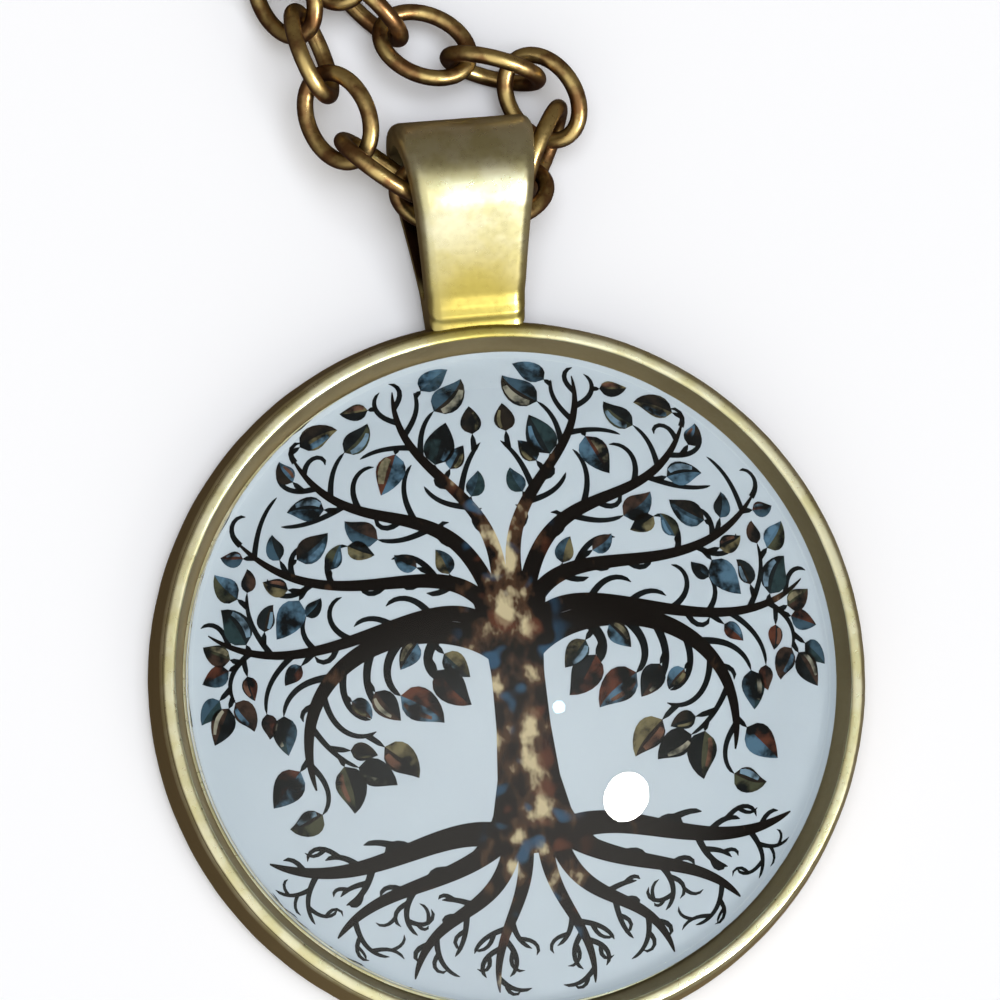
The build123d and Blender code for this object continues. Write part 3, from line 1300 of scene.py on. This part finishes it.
@dataclass(frozen=True)
class Lamp:
    """A round lamp that either shows in gloss or lights the matte surfaces."""

    name: str
    way: Triple
    distance: float
    size: float
    power: float
    colour: Triple
    mirrored: bool = True

    def hang(self) -> None:
        """Hangs the lamp so that it faces the object."""
        data = bpy.data.lights.new(self.name, "AREA")
        data.shape = "DISK"
        data.size = self.size * MM
        data.energy = self.power
        data.color = self.colour
        lamp = bpy.data.objects.new(self.name, data)
        way = Vector(self.way).normalized()
        lamp.location = way * self.distance * MM
        lamp.rotation_euler = way.to_track_quat("Z", "Y").to_euler()
        lamp.visible_diffuse = not self.mirrored
        lamp.visible_glossy = self.mirrored
        lamp.visible_transmission = self.mirrored
        bpy.context.scene.collection.objects.link(lamp)


@dataclass
class Studio:
    """Floor, sky, lamps and the camera that stands where the photograph's did."""

    camera_distance: float = 170.0
    camera_tilt: Pair = (-9.3, -4.15)
    camera_roll: float = 6.35
    focal_px: float = 4370.0
    photo_px: float = 1000.0
    sensor: float = 36.0
    aim_px: Pair = (507.7, 680.2)
    clip_m: Pair = (0.01, 20.0)
    floor_height: float = -0.02
    floor_half: float = 2000.0
    floor_white: str = "#FAFAFC"
    floor_mirrored: str = "#665A4E"
    lamps: tuple[Lamp, ...] = (
        Lamp("lamp", (0.469, -0.45, 0.76), 400.0, 76.0, 1.15, (1.0, 0.97, 0.93)),
        Lamp("small_lamp", (0.24, -0.11, 0.965), 400.0, 20.0, 0.025, (0.5, 0.8, 1.0)),
        Lamp("overhead", (0.0, 0.0, 1.0), 700.0, 600.0, 3.4, (0.87, 0.92, 1.0), False),
    )
    bright_side: Triple = (-0.1, -0.62, 0.78)
    bright_edge: Pair = (0.4, 0.9)
    room_low: str = "#675F53"
    room_high: str = "#FDF9F0"
    pale: str = "#F2F2F2"

    def camera(self) -> None:
        """Stands the camera so that the pendant falls where it does in the photograph."""
        lean = [math.sin(math.radians(a)) for a in self.camera_tilt]
        back = np.array([*lean, math.sqrt(1 - lean[0] ** 2 - lean[1] ** 2)])
        roll = math.radians(self.camera_roll)
        right = np.cross([math.sin(roll), math.cos(roll), 0.0], back)
        right /= np.linalg.norm(right)
        axes = np.array([right, np.cross(back, right), back])
        middle = self.photo_px / 2
        pitch = -math.atan((self.aim_px[1] - middle) / self.focal_px)
        yaw = -math.atan((self.aim_px[0] - middle) / self.focal_px * math.cos(pitch))
        aimed = np.array(Matrix.Rotation(pitch, 3, "X") @ Matrix.Rotation(yaw, 3, "Y")) @ axes
        data = bpy.data.cameras.new("camera")
        data.lens = self.focal_px * self.sensor / self.photo_px
        data.sensor_width = self.sensor
        data.clip_start, data.clip_end = self.clip_m
        camera = bpy.data.objects.new("camera", data)
        place = Matrix.Translation(Vector(back * self.camera_distance * MM))
        camera.matrix_world = place @ Matrix(aimed.T.tolist()).to_4x4()
        bpy.context.scene.collection.objects.link(camera)
        bpy.context.scene.camera = camera

    def floor(self) -> None:
        """Lays a plain pale floor, which metal mirrors as the warm room round the photograph's."""
        sides = ((-1, -1), (1, -1), (1, 1), (-1, 1))
        corners = [(x * self.floor_half, y * self.floor_half, self.floor_height) for x, y in sides]
        piece = mesh_object("floor", np.array(corners), [[0, 1, 2, 3]])
        material, add = start_material("pale_card")
        mirrored = add("ShaderNodeLightPath").outputs["Is Glossy Ray"]
        tones = {"Factor": mirrored, 6: linear(self.floor_white), 7: linear(self.floor_mirrored)}
        shade = add("ShaderNodeMix", tones, **COLOURS)
        card = add("ShaderNodeBsdfPrincipled", {"Base Color": shade, "Roughness": 0.8})
        add("ShaderNodeOutputMaterial", {"Surface": card})
        piece.data.materials.append(material)

    def sky(self) -> None:
        """Paints a soft room: dim and warm behind the bail, bright in front and overhead."""
        world = bpy.data.worlds.new("room")
        bpy.context.scene.world = world
        world.use_nodes = True
        world.node_tree.nodes.clear()
        add = partial(add_node, world.node_tree)
        way = add("ShaderNodeTexCoord").outputs["Generated"]
        side = add("ShaderNodeVectorMath", {0: way, 1: self.bright_side}, operation="DOT_PRODUCT")
        low, high = self.bright_edge
        height = add("ShaderNodeMapRange", {"Value": side, "From Min": low, "From Max": high}, **SMOOTH)
        tones = {"Factor": height, 6: linear(self.room_low), 7: linear(self.room_high)}
        room = add("ShaderNodeMix", tones, **COLOURS)
        lit = add("ShaderNodeBackground", {"Color": room, "Strength": 1.0})
        seen = add("ShaderNodeBackground", {"Color": linear(self.pale), "Strength": 1.0})
        direct = add("ShaderNodeLightPath").outputs["Is Camera Ray"]
        mixed = add("ShaderNodeMixShader", {0: direct, 1: lit, 2: seen})
        add("ShaderNodeOutputWorld", {"Surface": mixed})

    def build(self) -> None:
        """Sets up everything that isn't the object."""
        bpy.context.scene.view_settings.view_transform = "Standard"
        self.camera()
        self.floor()
        for lamp in self.lamps:
            lamp.hang()
        self.sky()


def main() -> None:
    """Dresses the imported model."""
    logging.basicConfig(level=logging.INFO, format="%(name)s: %(message)s")
    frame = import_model()
    Studio().build()
    Setting().build()
    PictureDisc().build()
    GlassDome().build()
    Chain().build(frame["nodes"]["chain"])
    Clasp().dress(frame["nodes"]["clasp"])


if __name__ == "__main__":
    main()
